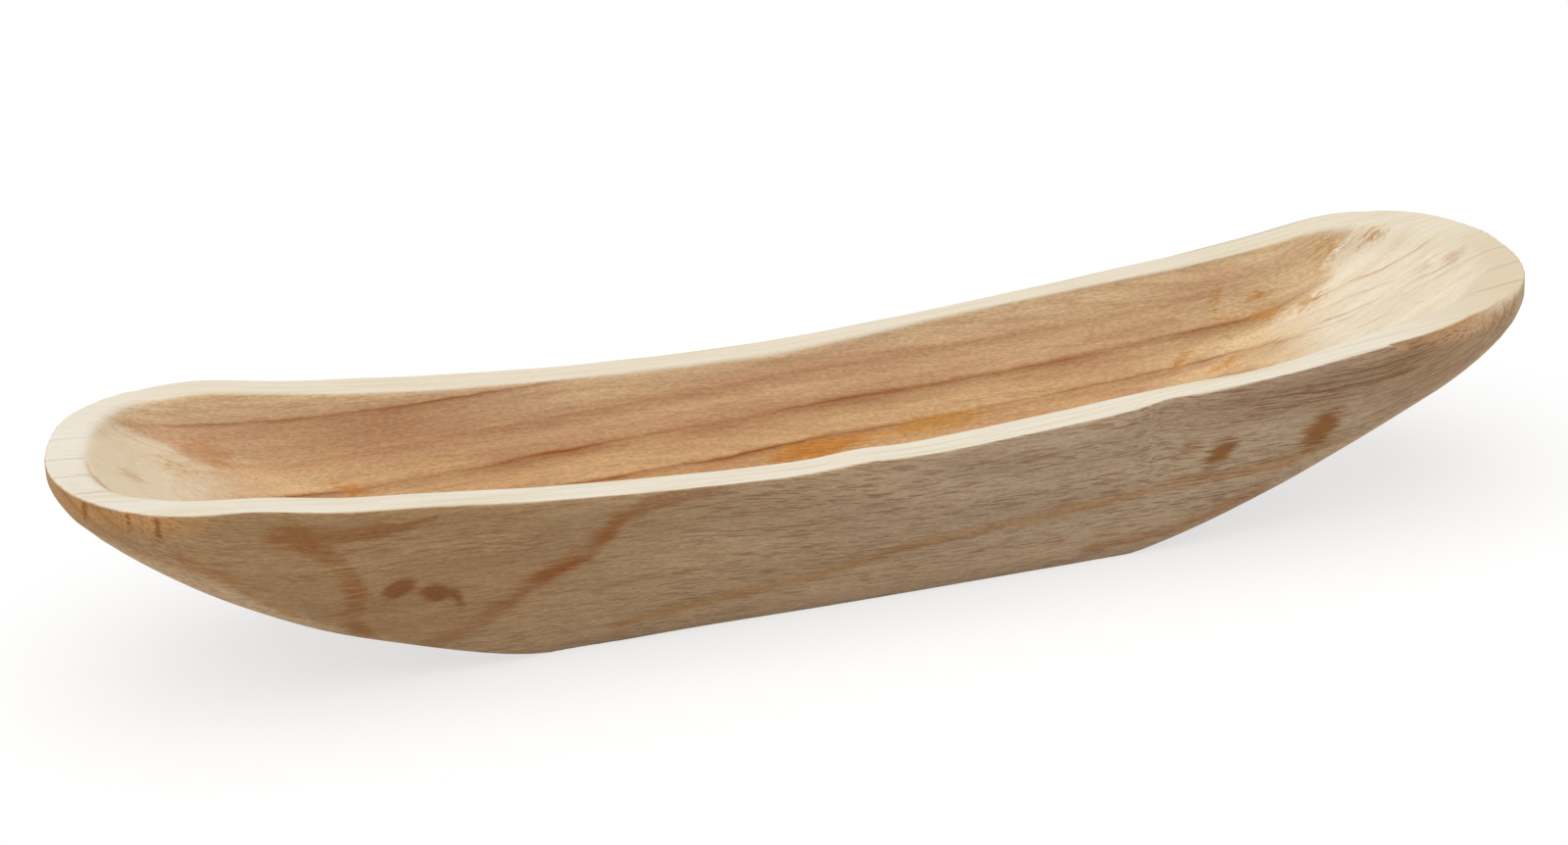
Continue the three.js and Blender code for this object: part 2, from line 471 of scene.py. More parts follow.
x, y, z = np.moveaxis(skin, -1, 0)
ridge = closeness(CHISEL_RIDGE, x, z, RIDGE_REACH, RIDGE_REACH).clip(0)
ridge = ridge * soft_step(y, *RIDGE_SIDE) * in_hollow
shift = outer_weight * wander(OUTER_WANDER, x, y) + inner_weight * wander(INNER_WANDER, x, y)
shift += base_weight * wander(BASE_WANDER, x, y)
normals = outward_normals(skin)
skin = skin - normals * (GOUGE_DEPTH * gouge_weight * gouge_waves(x, y, z))[..., None]
skin[..., 1] += np.sign(y) * shift
skin[..., 1] -= RIDGE_HEIGHT * ridge
skin[..., 0] += np.where(x < 0, LEFT_SKEW * (np.abs(x) / HALF_LENGTH) ** 3 * y / HALF_WIDTH, 0)
skin[..., 0] += LEFT_CORNER_CUT * soft_step(y, *CORNER_ACROSS) * soft_step(-x, *CORNER_ALONG)
print("widest shift of the rim's edges, mm:", np.abs(shift).max().round(1))

# %% [markdown]
# ## The mesh
# Rings and columns make a grid of quads. Each is split in two triangles, points that fall together
# on the base's and the floor's middle lines are welded, and triangles with no area are left out.

# %% Mesh
def grid_triangles(rings, columns):
    """Two triangles for each grid quad, closing round the columns, wound so that they face out."""
    ring, column = np.meshgrid(np.arange(rings - 1), np.arange(columns), indexing="ij")
    following = (column + 1) % columns
    a = ring * columns + column
    b = ring * columns + following
    c = (ring + 1) * columns + following
    d = (ring + 1) * columns + column
    halves = [np.stack([a, b, c], axis=-1), np.stack([a, c, d], axis=-1)]
    return np.concatenate([half.reshape(-1, 3) for half in halves])


def welded(points, triangles):
    """Merges points that fall together and drops triangles that lose an edge by it."""
    _, first, place = np.unique(np.round(points, 5) + 0.0, axis=0, return_index=True, return_inverse=True)
    triangles = place.reshape(-1)[triangles]
    a, b, c = triangles.T
    return first, triangles[(a != b) & (b != c) & (c != a)]


points = skin.reshape(-1, 3)
kept, triangles = welded(points, grid_triangles(len(skin), COLUMNS))
mesh = bpy.data.meshes.new("bowl")
mesh.from_pydata(points[kept] * MM, [], triangles)
mesh.validate()
mesh.shade_smooth()
bowl = bpy.data.objects.new("bowl", mesh)
bpy.context.collection.objects.link(bowl)
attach(bowl, "root")
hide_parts("bowl_body")
print("bowl:", len(mesh.vertices), "points,", len(mesh.polygons), "triangles")

# %% [markdown]
# ## Growth rings and fibres
# The dark lines on the wood are where the cut meets the tree's yearly layers. The layers are tubes
# round the heart of the log, which runs along the bowl under its base and bends up at both ends, and
# the pores run along them. Each point of the mesh keeps its depth in the layers and its place along
# the fibre, in millimetres, as attributes. So a line follows one layer wherever the carver cut it,
# which a flat pattern laid over the bowl could not do.

# %% Layers and fibres
HEART_BELOW = 10.0
HEART_SLOPE = 0.03
BEND_START = 200.0
LEFT_BEND = 0.0025
RIGHT_BEND = 0.005
FLAME_DIP = 34.0
DIP_START = (20, 90)
DIP_END = (90, 190)
DIP_SIDE = (15, 45)
SWELL = 4.5
SWELL_MIDDLE = -220.0
SWELL_REACH = 45.0
SWELL_UP = (58, 74)
FIBRE_FALL = 0.05
FIBRE_SWAY = 8.0
SWAY_RANGE = (-80, 40)


def end_bend(x):
    """How far the layers have bent up at x: a bend times the square of the way past 200 mm."""
    bend = np.where(x < 0, LEFT_BEND, RIGHT_BEND)
    return bend * np.maximum(np.abs(x) - BEND_START, 0) ** 2


def layer_depth(x, y, z, hull):
    """Distance from the heart, less its slope and bend. The layers swell high at the left of the hollow,
    and a dip on the far hull makes a flame figure there."""
    dip = soft_step(x, *DIP_START) * soft_drop(x, *DIP_END) * soft_step(y, *DIP_SIDE)
    swell = SWELL * swelling(x, SWELL_MIDDLE, SWELL_REACH) * soft_step(z, *SWELL_UP)
    straight = np.hypot(y, z + HEART_BELOW) - HEART_SLOPE * x
    return straight - end_bend(x) - swell * (1 - hull) + FLAME_DIP * dip * hull


def along_fibre(x, y, z):
    """Places straightened along the fibre, which falls a little to the right and bends with the layers."""
    fall = FIBRE_FALL * x + FIBRE_SWAY * soft_step(x, *SWAY_RANGE)
    return np.stack([x, y, z + fall - end_bend(x)], axis=1)


def on_points(values):
    """Values by ring, or by ring and column, for every kept point of the mesh."""
    return np.broadcast_to(values, skin.shape[:2]).reshape(-1)[kept]


x, y, z = points[kept].T
hull_share = on_points(ring_values(base=(1, 1), hull=(1, 1), foot=(1, 1), lip=(1, 1), outer_edge=(1, 0.2)))
layer = layer_depth(x, y, z, hull_share)
fibre = along_fibre(x, y, z)
print("layer depth, mm:", layer.min().round(1), "to", layer.max().round(1))

# %% [markdown]
# ## Where the wood changes
# Sanding left the rim cream, the scoops at both ends show pale sapwood, the left lip is brown end
# grain, and the pared bevel on the right took up dirt. Each is a share from 0 to 1 that the wood's
# material mixes by, worked out from the same rings and shares that shaped the bowl.

# %% Zones of the rim and the lip
# Ranges between which a zone comes in, in mm from mid length.
LEFT_LIP_RANGE = (240, 262)
RIGHT_LIP_RANGE = (262, 290)
LIP_LINES_RANGE = (238, 262)
RIM_LINES_RANGE = (258, 276)
RIM_GRAIN_SLOPE = 0.2

soft_end = soft_step(x, *END_EASE_RANGE) + 0.3 * soft_step(-x, *END_EASE_RANGE)
soft_rim = on_points(ring_values(outer_edge=(0.1, 1), rim=(1, 1), inner_edge=(1, 0)))
crisp_rim = soft_step(soft_rim, 0.3, 0.7)
pared = on_points(ring_values(lip=(1, 1), outer_edge=(1, 1)) * bevel)
rim_share = (crisp_rim + (soft_rim - crisp_rim) * soft_end) * (1 - 0.9 * pared)
lip_share = on_points(ring_values(foot=(0.2, 1), lip=(1, 1), outer_edge=(1, 0)))
left_lip = lip_share * soft_step(-x, *LEFT_LIP_RANGE)
right_lip = lip_share * soft_step(x, *RIGHT_LIP_RANGE)
stain = on_points(ring_values(lip=(0.1, 0.2), outer_edge=(0.25, 1)) * bevel)
end_share = 0.7 * lip_share * soft_step(np.abs(x), *LIP_LINES_RANGE)
rim_ends = 0.4 * rim_share * soft_step(np.abs(x), *RIM_LINES_RANGE)
rim_grain = np.where(x < 0, y - RIM_GRAIN_SLOPE * (x + HALF_LENGTH), y)
print("points on the rim:", int((rim_share > 0.5).sum()))

# %% [markdown]
# ## Scoops and walls of the hollow
# The scoops run out into sapwood, so they are palest where they rise faster than the walls. At the
# left the wall has a pinkish band of layers, and a yellow one below it.

# %% Zones of the hollow
# How far a scoop stands out from the wall and how far up it is, both as shares.
RIGHT_SCOOP_EDGE = (-0.28, 0.36)
RIGHT_SCOOP_RISE = (0.36, 0.84)
LEFT_SCOOP_EDGE = (0.38, 0.58)
LEFT_SCOOP_RISE = (0.45, 0.92)

# Ranges in mm: past the chisel ridge, up, along to the left, and through the layers.
PAST_RIDGE_RANGE = (-2, 5)
PAST_RIDGE_UP = (62, 76)
CHISEL_RANGE = (-6, -3)
CHISEL_UP = (74, 79)
LEFT_WALL_RANGE = (90, 165)
LEFT_WALL_FADE = (165, 205)
LEFT_WALL_LAYERS = (86, 96)
LEFT_WALL_LAST = (103, 107)
LEFT_LOW_RANGE = (115, 145)
LEFT_LOW_FADE = (205, 235)
LEFT_LOW_LAYERS = (64, 71)
LEFT_LOW_SLOPE = 0.1

scoop, wall = hollow_shares(x, y)
ridge_along, ridge_up = np.array(CHISEL_RIDGE[::-1]).T
past_ridge = x - np.interp(z, ridge_up, ridge_along)
right_scoop = soft_step(scoop - wall, *RIGHT_SCOOP_EDGE) * soft_step(scoop, *RIGHT_SCOOP_RISE)
right_top = 0.8 * soft_step(past_ridge, *PAST_RIDGE_RANGE) * soft_step(z, *PAST_RIDGE_UP)
right_pale = 1.2 * np.maximum(right_scoop, right_top) * (x > 0)
left_pale = soft_step(scoop - 0.6 * wall, *LEFT_SCOOP_EDGE) * soft_step(scoop, *LEFT_SCOOP_RISE) * (x < 0)
pale_share = (right_pale + 0.8 * left_pale) * (1 - hull_share)
left_wall = soft_step(layer, *LEFT_WALL_LAYERS) * soft_drop(layer, *LEFT_WALL_LAST)
left_wall *= soft_step(-x, *LEFT_WALL_RANGE) * (1 - 0.4 * soft_step(-x, *LEFT_WALL_FADE))
left_low = soft_step(-x, *LEFT_LOW_RANGE) * soft_drop(-x, *LEFT_LOW_FADE)
left_low *= soft_drop(layer + LEFT_LOW_SLOPE * x, *LEFT_LOW_LAYERS)
# A painted highlight: a pale line along the top of the chisel ridge, where the ridge catches the light.
chisel = on_points(in_hollow) * soft_step(past_ridge, *CHISEL_RANGE)
chisel = chisel * soft_step(y, *RIDGE_SIDE) * soft_step(z, *CHISEL_UP)
print("points in the scoops:", int((pale_share > 0.5).sum()))

# %% [markdown]
# ## Underside, near side and pores
# Under the ends and low by the base the hull is painted paler: painted light from the white floor.
# The near side is set apart because its figure is drawn from listed lines. Pores show most on the hull.

# %% Zones of the hull
# How far the keel stands out from the side, as shares, and ranges in mm along, across and up.
UNDER_EDGE = (-0.05, 0.12)
UNDER_RANGE = (130, 200)
UNDER_LOW = (4, 28)
NEAR_RANGE = (5, 25)
PORES_ALONG = (-110, -20)
PORES_UP = (8, 30)
HOLLOW_PORES = 0.22
STREAKS_START = (90, 200)
STREAKS_END = (225, 268)
STREAKS_BELOW_RIM = 12.0
STREAKS_REACH = 9.0

keel, side = hull_shares(x, y)
# Painted light: under the ends and low by the base the hull is painted paler, as if lit from the floor.
painted_light_under_ends = soft_step(keel - side, *UNDER_EDGE) * soft_step(np.abs(x), *UNDER_RANGE)
painted_underside_light = np.maximum(painted_light_under_ends, 0.6 * soft_drop(z, *UNDER_LOW)) * hull_share
near_hull = hull_share * soft_step(-y, *NEAR_RANGE)
hull_pores = 0.75 + 0.25 * soft_step(x, *PORES_ALONG) * soft_step(z, *PORES_UP)
pore_share = np.where(hull_share > 0.5, hull_pores, HOLLOW_PORES)
below_rim = rim_height(x, y) - z
streaky = near_hull * soft_step(x, *STREAKS_START) * soft_drop(x, *STREAKS_END)
streaky *= swelling(below_rim, STREAKS_BELOW_RIM, STREAKS_REACH)
print("points on the near hull:", int((near_hull > 0.5).sum()))

# %% [markdown]
# ## Flame figure
# On the near side the carver cut through a swelling of the trunk, so the layers draw a flame there.
# Its lines are chains of a few points, and the material needs only the distance to them, because it
# roughens and fades them itself.

# %% Lines of the near side and the right scoop
# Chains of (x, z) on the near side.
FLAME_RIGHT = [
    (-176, 12), (-160, 20), (-149, 24), (-139, 31), (-127, 40), (-117, 45), (-108, 49),
    (-101, 57), (-94, 65), (-84, 70), (-73, 71), (-55, 71), (-30, 71),
]
FLAME_LEFT = [
    (-186, 16), (-190, 24), (-196, 31), (-197, 38), (-194, 48),
    (-201, 65), (-211, 74), (-219, 79), (-228, 80),
]
FLAME_TOP = [(-224, 80), (-206, 78), (-193, 77), (-179, 76), (-165, 79)]
SAP_LINE = [
    (-95, 10), (-68, 14), (-52, 16), (-18, 19), (22, 27), (51, 29),
    (84, 31), (107, 33), (138, 36), (159, 36), (183, 38), (205, 44),
]
LOW_EDGE = [(100, 8), (116, 9), (137, 11), (157, 18), (173, 25)]
LEFT_EDGE = [(-262, 78), (-252, 70), (-246, 66), (-240, 60), (-235, 53.5), (-228, 48.5), (-219, 41)]

# Chains of (x, y): the way the wood sweeps down the right scoop, and a short crack at the scoop's top.
SCOOP_SWEEP = [(150, 41), (201, 34), (232, 19), (259, 5), (274, 1), (290, -2)]
CRACK = [(254, 45.2), (260, 43.8), (266, 42.2)]

# The flame's top line thins from left to right, and its left side is fainter.
TOP_THINS = (-224, -165)
TOP_REACH = (8.0, 3.5)
LEFT_FLAME_MOST = 0.6

top_reach = np.interp(x, TOP_THINS, TOP_REACH)
right_flame = closeness(FLAME_RIGHT, x, z, left_reach=7.5, right_reach=4.5)
left_flame = closeness(FLAME_LEFT, x, z, left_reach=8.0, right_reach=4.2)
low_edge = closeness(LOW_EDGE, x, z, left_reach=6.0, right_reach=5.0)
left_edge = closeness(LEFT_EDGE, x, z, left_reach=4.0, right_reach=3.0)
near_lines = dict(
    figure=np.maximum(right_flame, np.minimum(left_flame, LEFT_FLAME_MOST)),
    figure_top=closeness(FLAME_TOP, x, z, left_reach=top_reach, right_reach=top_reach),
    sap=closeness(SAP_LINE, x, z, left_reach=5.5, right_reach=4.5),
    low_edge=np.maximum(low_edge, left_edge),
)
near_lines = {name: np.where(near_hull > 0.5, line, -1.0) for name, line in near_lines.items()}
sweep = y - np.interp(x, *zip(*SCOOP_SWEEP))
crack = closeness(CRACK, x, y, left_reach=1.9, right_reach=1.9)
crack = np.where(hull_share < 0.1, crack, -1.0)
print("points on each line:", {name: int((line > 0.3).sum()) for name, line in near_lines.items()})

# %% [markdown]
# ## Knots and stains
# A knot is where a twig left the trunk, so it is a dark, slanting oval. Stains are softer and more
# yellow. Each is an ellipsoid about a place on the wood, so it shows only near that place.

# %% Spots
# Place, half length, half height, slant and strength of each spot, in mm.
KNOTS = [
    (-180, -59, 48, 7.6, 5.6, 0.5, 1.0), (-166, -58, 43, 7.0, 5.6, -0.2, 1.0),
    (-158, -57, 39, 3.4, 7.5, -0.4, 0.55), (164, -66, 81, 1.6, 1.6, 0.0, 0.7),
    (-60, 58, 30, 6.0, 5.0, -0.4, 0.8), (40, -8, 0, 9.0, 6.0, 0.0, 0.5),
]
SOFT_KNOTS = [
    (151, -61, 48, 8.5, 10.0, 0.4, 0.9), (137, -63, 52, 8.0, 5.5, 0.3, 0.45),
    (194, -60, 51, 10.0, 15.0, 0.4, 1.0), (90, 63, 46, 8.0, 8.0, 0.5, 0.9),
    (-205, 62, 66, 7.0, 8.0, 0.2, 0.7),
]
LIP_STREAKS = [
    (-290, -43.5, 95, 1.6, 9.0, 0.0, 0.8), (-276, -57, 93, 1.4, 9.0, 0.0, 0.6),
    (-266, -62, 90, 1.8, 9.0, 0.0, 0.8),
]
FAINT_SPOTS = [
    (281, 2, 89, 8.0, 8.0, 0.0, 1.0), (270, 8, 84, 5.0, 5.0, 0.0, 0.7), (-269, -3, 87, 9.0, 7.0, 0.0, 0.9),
    (-239, 41, 71, 20.0, 11.0, 0.0, 1.4), (107, -49, 15, 9.0, 4.5, 0.0, 0.8),
    (88, -49, 15, 7.0, 4.0, 0.0, 0.6), (77, -49, 16, 6.0, 3.5, 0.0, 0.4),
    (24, -49, 15, 9.0, 4.0, 0.0, 0.5), (176, -55, 35, 13.0, 4.5, 1.5, 0.9),
    (-258, -60, 73, 7.0, 6.0, 0.6, 0.7), (-110, 58, 40, 20.0, 5.0, 0.0, 0.5),
    (150, 56, 38, 14.0, 5.0, 0.0, 0.6),
]
ORANGE_STAINS = [
    (8, 38.5, 33, 16.0, 4.6, 1.2, 0.9), (25, 38.8, 34, 14.0, 3.4, 1.2, 0.7),
    (-182, 41, 47.5, 6.5, 4.4, -1.2, 0.5),
]
GOLDEN_STAINS = [
    (242, 46, 82, 9.0, 8.0, 0.5, 0.8), (260, 42, 89, 9.0, 5.0, 0.5, 1.0),
    (197, 44, 60, 12.0, 3.5, 0.6, 0.8), (213, 43, 60, 11.0, 4.0, 0.6, 1.0),
    (190, 32, 45, 14.0, 4.0, 0.6, 0.8), (234, 38, 64, 14.0, 5.0, 0.6, 0.7),
    (192, 46, 66, 4.0, 9.0, 0.3, 0.7), (211, 47, 67, 7.0, 3.4, 0.6, 1.0),
    (174, 41, 45, 4.5, 6.0, 0.9, 0.8), (66, 39.7, 36.4, 29.0, 4.8, 2.0, 1.3),
    (12, 38.6, 33.6, 26.0, 5.4, 1.2, 0.8), (-249, 22, 76, 10.0, 10.0, 0.0, 0.4),
]


def spots(marks):
    """Strength times 1 less the distance from the middle in half sizes, where the strongest spot wins."""
    total = np.full_like(x, -1.0)
    for mark_x, mark_y, mark_z, half_length, half_height, slant, strength in marks:
        along = (x - mark_x - slant * (z - mark_z)) / half_length
        across = np.hypot(y - mark_y, z - mark_z) / half_height
        total = np.maximum(total, strength * (1 - np.hypot(along, across)))
    return total


lip_streaks = np.where(hull_share > 0.9, spots(LIP_STREAKS), -1.0)
marks = dict(
    knot=spots(KNOTS), soft_knot=np.maximum(spots(SOFT_KNOTS), lip_streaks), faint=spots(FAINT_SPOTS),
    orange=spots(ORANGE_STAINS), golden=spots(GOLDEN_STAINS),
)
print("points in each mark:", {name: int((mark > 0.3).sum()) for name, mark in marks.items()})

# %% [markdown]
# ## Handing the fields to the material
# Colours drift from end to end and lines fade towards the tips, so a few more shares say where. All
# are then stored on the mesh's points, and the material reads them by name.

# %% Attributes
# Ranges in mm along the bowl, or across or up where the name says so.
LINES_LEFT_FADE = (215, 265)
LINES_RIGHT_FADE = (180, 235)
FIGURE_START = (-238, -208)
FIGURE_END = (-80, -40)
FIGURE_UP = (15, 45)
TO_LEFT = (200, 280)
TO_RIGHT = (20, 240)
HULL_RIGHT = (-190, 90)
HULL_RIGHT_FADE = (180, 270)
RIM_FAR_ACROSS = (10, 50)
RIM_RIGHT = (215, 285)
RIM_RIGHT_ACROSS = (-5, 40)
RIM_LEFT = (230, 285)
RIM_LEFT_ACROSS = (-45, -5)

lines_fade = 1 - 0.7 * soft_step(-x, *LINES_LEFT_FADE) - 0.4 * soft_step(x, *LINES_RIGHT_FADE)
figure_fade = soft_step(x, *FIGURE_START) * soft_drop(x, *FIGURE_END)
figure_fade *= 0.6 + 0.4 * soft_step(z, *FIGURE_UP)
hull_right = soft_step(x, *HULL_RIGHT) * (1 - 0.5 * soft_step(x, *HULL_RIGHT_FADE))
rim_far = rim_share * soft_step(y, *RIM_FAR_ACROSS)
rim_right = rim_share * soft_step(x, *RIM_RIGHT) * soft_drop(y, *RIM_RIGHT_ACROSS)
rim_left = rim_share * soft_step(-x, *RIM_LEFT) * soft_step(y, *RIM_LEFT_ACROSS)
attributes = dict(
    layer=layer, hull=hull_share, rim=rim_share, pale=pale_share, under=painted_underside_light, pores=pore_share,
    left_lip=left_lip, right_lip=right_lip, stain=stain, near=near_hull, ends=end_share, streaky=streaky,
    rim_ends=rim_ends, rim_grain=rim_grain, rim_far=rim_far, rim_right=rim_right, rim_left=rim_left,
    left_wall=left_wall, left_low=left_low, hull_right=hull_right, chisel=chisel, past_ridge=past_ridge,
    to_left=soft_step(-x, *TO_LEFT), to_right=soft_step(x, *TO_RIGHT), sweep=sweep, crack=crack,
    lines_fade=lines_fade, figure_fade=figure_fade, **near_lines, **marks,
)
for name, values in attributes.items():
    stored = mesh.attributes.new(name, "FLOAT", "POINT")
    stored.data.foreach_set("value", values.astype(np.float32))
stored = mesh.attributes.new("fibre", "FLOAT_VECTOR", "POINT")
stored.data.foreach_set("vector", fibre.astype(np.float32).ravel())
print("attributes:", len(mesh.attributes))

# %% [markdown]
# ## Building a material with nodes
# A material is a small network of nodes. One helper adds any node, sets its values and links, and
# hands back an output, so that a network reads like a calculation. Colours are written as the sRGB
# hex values that one sees on a screen, and shaders want linear light, so one function converts them.

# %% Node helper
def add_node(tree, kind, inputs=None, output=0, **settings):
    """Adds one node and gives back an output. inputs maps a socket to a value or to another output."""
    made = tree.nodes.new("ShaderNode" + kind)
    for name, value in settings.items():
        setattr(made, name, value)
    for name, value in (inputs or {}).items():
        if isinstance(value, bpy.types.NodeSocket):
            tree.links.new(value, made.inputs[name])
        else:
            made.inputs[name].default_value = value
    return made.outputs[output] if made.outputs else made


def linear(hex_colour):
    """An sRGB hex colour as the linear colour that a shader takes."""
    parts = [int(hex_colour[i:i + 2], 16) / 255 for i in (1, 3, 5)]
    return (*[c / 12.92 if c <= 0.04045 else ((c + 0.055) / 1.055) ** 2.4 for c in parts], 1)


print("middle grey in linear light:", round(linear("#808080")[0], 3))

# %% [markdown]
# ## Paulownia
# Paulownia is a pale, light, open-pored wood. Carved and sanded without a finish it is quite matt:
# the eye sees thin brown growth lines with one soft and one sharp side, short reddish pores along the
# fibre, and a faint speckle. Noise stretched along the fibre gives pores and streaks, and noise laid
# along the layers gives stripes beside the growth lines.

# %% Grain patterns
wood = bpy.data.materials.new("paulownia")
wood.use_nodes = True
tree = wood.node_tree
tree.nodes.clear()
read = {name: add_node(tree, "Attribute", attribute_name=name, output="Fac") for name in attributes}
fibre_place = add_node(tree, "Attribute", attribute_name="fibre", output="Vector")
fibre_along = add_node(tree, "SeparateXYZ", {0: fibre_place}, output="X")


def product(*shares):
    """The shares multiplied together, one node after another."""
    total, *others = shares
    for share in others:
        total = add_node(tree, "Math", {0: total, 1: share}, operation="MULTIPLY")
    return total


def streaks(place, stretch, low=0.3, high=0.7, least=0.0, most=1.0, detail=2.0):
    """Noise at a place times a stretch. Its values from low to high become least to most."""
    place = add_node(tree, "VectorMath", {0: place, 1: stretch}, operation="MULTIPLY")
    noise = add_node(tree, "TexNoise", {"Vector": place, "Scale": 1.0, "Detail": detail}, output="Fac")
    levels = {0: noise, 1: low, 2: high, 3: least, 4: most}
    return add_node(tree, "MapRange", levels, interpolation_type="SMOOTHSTEP")


def grain(along, across, *levels, upright=1.0, **settings):
    """Streaks along the fibre, of about along by across mm. The levels are low, high, least and most."""
    return streaks(fibre_place, (1 / along, 1 / across, upright / across), *levels, **settings)


def layer_stripes(along, thick, most):
    """Streaks laid along the layers, in stripes of about along by thick mm, from -most to most."""
    place = add_node(tree, "CombineXYZ", {0: fibre_along, 1: layer_place})
    return streaks(place, (1 / along, 1 / thick, 0), least=-most, most=most)


def growth_lines(depth, lines):
    """Darkness of growth lines: each rises over its soft side as a square, and ends over its sharp side."""
    total = 0.0
    for line_depth, soft, sharp, strength in lines:
        rise = add_node(tree, "MapRange", {0: depth, 1: line_depth - soft, 2: line_depth})
        rise = add_node(tree, "Math", {0: rise, 1: 2.0}, operation="POWER")
        ends = {0: depth, 1: line_depth, 2: line_depth + sharp, 3: strength, 4: 0.0}
        fall = add_node(tree, "MapRange", ends, interpolation_type="SMOOTHSTEP")
        total = add_node(tree, "Math", {0: product(rise, fall), 1: total}, operation="MAXIMUM")
    return total


def roughened(field, rough, low, high):
    """A field from the mesh with a rough edge: the roughness is added, and low to high becomes 0 to 1."""
    edge = add_node(tree, "Math", {0: field, 1: rough}, operation="ADD")
    return add_node(tree, "MapRange", {0: edge, 1: low, 2: high}, interpolation_type="SMOOTHSTEP")


wobble = add_node(tree, "Math", {0: grain(170, 45, 0.2, 0.8, -1.6, 1.6), 1: read["layer"]}, operation="ADD")
layer_place = add_node(tree, "Math", {0: grain(16, 5, 0.2, 0.8, -0.5, 0.5), 1: wobble}, operation="ADD")
print("nodes so far:", len(tree.nodes))

# %% [markdown]
# ## Colours of the wood
# In the hollow the colour follows the years, so a colour ramp runs over the depth of the layers. The
# other zones each mix two close colours by a streaky noise, as one flat colour would look like paint.

# %% Zone colours
# Layer depth in mm and the colour of the hollow there: pinkish in some years, yellow in others.
HOLLOW_BANDS = [
    (40, "#D0A674"), (59, "#D8AF79"), (64, "#E0BC8B"), (73, "#DEBA8A"), (77, "#D3AB82"), (83, "#DDB98E"),
    (89, "#D3AC83"), (96, "#E2C49A"), (104, "#E0C198"), (120, "#E8CFA8"),
]
BAND_START = 40.0
BAND_RANGE = 80.0
band_levels = {0: layer_place, 1: BAND_START, 2: BAND_START + BAND_RANGE}
bands = add_node(tree, "ValToRGB", {0: add_node(tree, "MapRange", band_levels)})
stops = bands.node.color_ramp.elements
stops.remove(stops[1])
for depth, colour in HOLLOW_BANDS:
    stop = stops[0] if depth == BAND_START else stops.new((depth - BAND_START) / BAND_RANGE)
    stop.color = linear(colour)

# Two colours of the same wood for each zone, and the grain pattern that mixes them.
cloud = grain(80, 16, 0.3, 0.7)
ZONES = dict(
    hull_left=(cloud, "#B89367", "#A98458"), hull_right=(cloud, "#C7AD8C", "#B99E7F"),
    scoop=(grain(60, 6, 0.3, 0.75, upright=0.0), "#F0E4CC", "#E8D7B7"),
    rim=(grain(60, 1.6, 0.4, 0.75, upright=0.0), "#ECE3D1", "#DFD0B2"),
)
zone_colours = {}
for zone, (share, light, dark) in ZONES.items():
    pair = {0: share, 6: linear(light), 7: linear(dark)}
    zone_colours[zone] = add_node(tree, "Mix", pair, output=2, data_type="RGBA")
hull_ends = {0: read["hull_right"], 6: zone_colours["hull_left"], 7: zone_colours["hull_right"]}
hull_colour = add_node(tree, "Mix", hull_ends, output=2, data_type="RGBA")
print("bands in the hollow:", len(HOLLOW_BANDS), "and zones:", ", ".join(ZONES))

# %% [markdown]
# ## Growth lines
# Wood darkens slowly to the end of a year and starts pale again, so a growth line has one soft and
# one sharp side. Noise breaks the lines up, so that none looks drawn with a ruler.

# %% Growth lines
# Depth, soft side, sharp side and strength: the main lines have a thin dark core in a soft shade.
HOLLOW_LINES = [
    (103.5, 6, 1.0, 0.35), (103.5, 2.6, 1.0, 0.75), (89.5, 6, 0.9, 0.2), (75.2, 10, 2.2, 0.8),
    (75.2, 4.2, 1.2, 1.0), (61.5, 6, 1.6, 0.6), (61.5, 2.6, 1.0, 1.0), (52.0, 4, 0.8, 0.5),
]
SCOOP_LINES = [
    (-16, 2.5, 0.8, 0.5), (-5, 2.5, 0.8, 0.6), (0, 2.5, 0.8, 1.0), (10, 2.5, 0.8, 0.6), (21, 3, 0.8, 0.9),
]
HULL_LINES = [(66.5, 7, 4.0, 0.6), (88.0, 8, 2.5, 0.4), (107.0, 12, 3.0, 1.0)]
END_LINES = [
    (59.4, 3, 0.8, 0.8), (73.8, 3, 0.8, 1.0), (79.6, 3, 0.8, 0.9), (84.0, 4, 1.2, 0.8),
    (88.0, 3, 0.8, 0.8), (99.0, 4, 1.2, 0.9), (107.0, 4, 1.2, 0.9),
]
RIM_LINES = [(-41, 2.0, 0.6, 1.0), (-24, 2.0, 0.6, 0.9), (-7, 2.0, 0.6, 0.9), (12, 2.0, 0.6, 0.5)]

presence = grain(60, 25, 0.36, 0.62, 0.45, 1.0)
hollow_lines = growth_lines(layer_place, HOLLOW_LINES)
hull_lines = growth_lines(layer_place, HULL_LINES)
end_lines = growth_lines(layer_place, END_LINES)
rim_sway = grain(40, 12, 0.2, 0.8, -1.0, 1.0)
rim_place = add_node(tree, "Math", {0: rim_sway, 1: read["rim_grain"]}, operation="ADD")
rim_lines = growth_lines(rim_place, RIM_LINES)
ragged = grain(14, 3, 0.2, 0.8, -0.24, 0.24)
flame_lines = roughened(read["figure"], grain(12, 1.2, 0.2, 0.8, -0.36, 0.32), 0.0, 0.9)
flame_presence = grain(26, 14, 0.35, 0.65, 0.5, 1.0)
sap_line = roughened(read["sap"], ragged, 0.0, 1.0)
low_line = roughened(read["low_edge"], ragged, 0.0, 1.0)
scoop_fade = grain(30, 12, 0.35, 0.65, 0.1, 0.65)
scoop_sway = grain(50, 9, 0.2, 0.8, -2.0, 2.0)
scoop_place = add_node(tree, "Math", {0: scoop_sway, 1: read["sweep"]}, operation="ADD")
scoop_lines = growth_lines(scoop_place, SCOOP_LINES)
crack_line = roughened(read["crack"], grain(6, 1, 0.2, 0.8, -0.35, 0.0), 0.5, 0.95)
